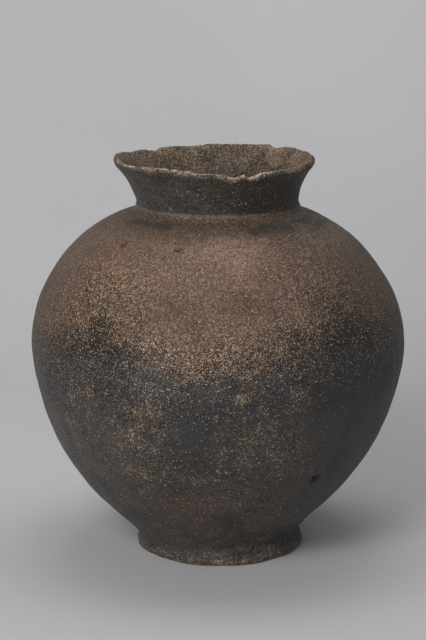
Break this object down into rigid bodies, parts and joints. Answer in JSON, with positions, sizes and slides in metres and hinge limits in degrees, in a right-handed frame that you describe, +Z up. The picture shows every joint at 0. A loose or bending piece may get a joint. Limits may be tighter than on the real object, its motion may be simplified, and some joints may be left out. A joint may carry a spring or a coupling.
{
  "type": "pottery jar",
  "caption": "Round hand-built earthenware jar on a low ring foot, with a short neck that flares to an uneven, chipped lip.",
  "frame": {"origin": "on the ground, in the middle of the jar under the ring foot's resting face", "axes": "+Z up along the jar's axis through the middle of the mouth; the pictured side faces -Y, with +X to its right"},
  "size_m": [0.3007, 0.2994, 0.3204],
  "materials": {
    "brown_clay": "matte low-fired earthenware, warm brown with fine tan speckle",
    "smoked_clay": "matte low-fired earthenware, smoked dark grey with rusty tan mottling",
    "neck_clay": "matte, faintly burnished smoked earthenware, nearly black, tan where the lip is chipped",
    "foot_clay": "matte worn earthenware, dark brown-grey with tan worn edges",
    "inside_clay": "rough unburnished earthenware, sandy grey-brown"
  },
  "bodies": {
    "root": {"foot_ring": "foot_clay", "base_slab": "foot_clay", "lower_wall": "smoked_clay", "shoulder_wall": "brown_clay", "neck_collar": "neck_clay", "foot_luting_roll": "foot_clay", "neck_luting_roll": "brown_clay", "neck_inner_roll": "inside_clay", "belly_inner_roll": "inside_clay", "base_inner_roll": "inside_clay"}
  },
  "joints": []
}
